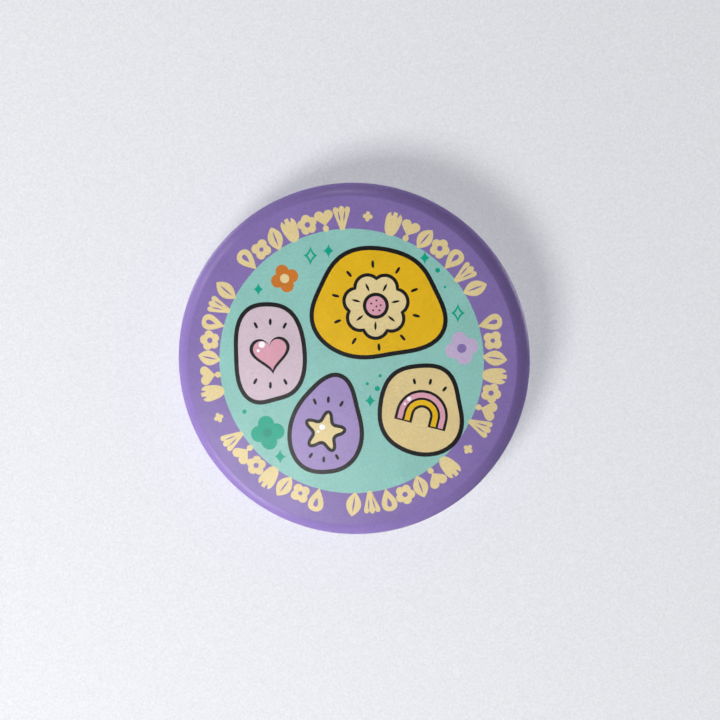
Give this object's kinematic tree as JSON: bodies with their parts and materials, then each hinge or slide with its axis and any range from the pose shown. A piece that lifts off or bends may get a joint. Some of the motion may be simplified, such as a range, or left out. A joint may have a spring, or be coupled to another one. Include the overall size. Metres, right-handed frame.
{
  "type": "button badge",
  "caption": "Round domed button badge with a film-covered printed face, rolled metal rim, and a locking bar pin on a dished back plate.",
  "frame": {"origin": "middle of the pin's straight shank, on its axis, with the pin closed", "axes": "+Z towards the top of the face as worn, -Y out of the face, +X along the pin bar towards the hinge"},
  "size_m": [0.058, 0.0114, 0.058],
  "materials": {
    "film": "satin clear film",
    "print": "printed",
    "tinplate": "bright tinplate",
    "foam_tape": "white foam tape",
    "nickel": "nickel plated",
    "pin_steel": "polished"
  },
  "bodies": {
    "badge": {"clear_film": "film", "printed_sheet": "print", "front_shell": "tinplate", "back_plate": "tinplate", "adhesive_pad": "foam_tape", "pin_bar": "nickel", "hinge_rivet": "nickel"},
    "pin": {"pin_stem": "pin_steel"},
    "catch": {"safety_catch": "nickel"}
  },
  "joints": [
    {"name": "pin_hinge", "type": "hinge", "parent": "badge", "child": "pin", "pos_m": [0.013, 0, 0], "axis": [0, 0, -1], "range_deg": [0, 100]},
    {"name": "catch_turn", "type": "hinge", "parent": "badge", "child": "catch", "pos_m": [-0.012, 0, 0], "axis": [1, 0, 0], "range_deg": [0, 70]}
  ]
}
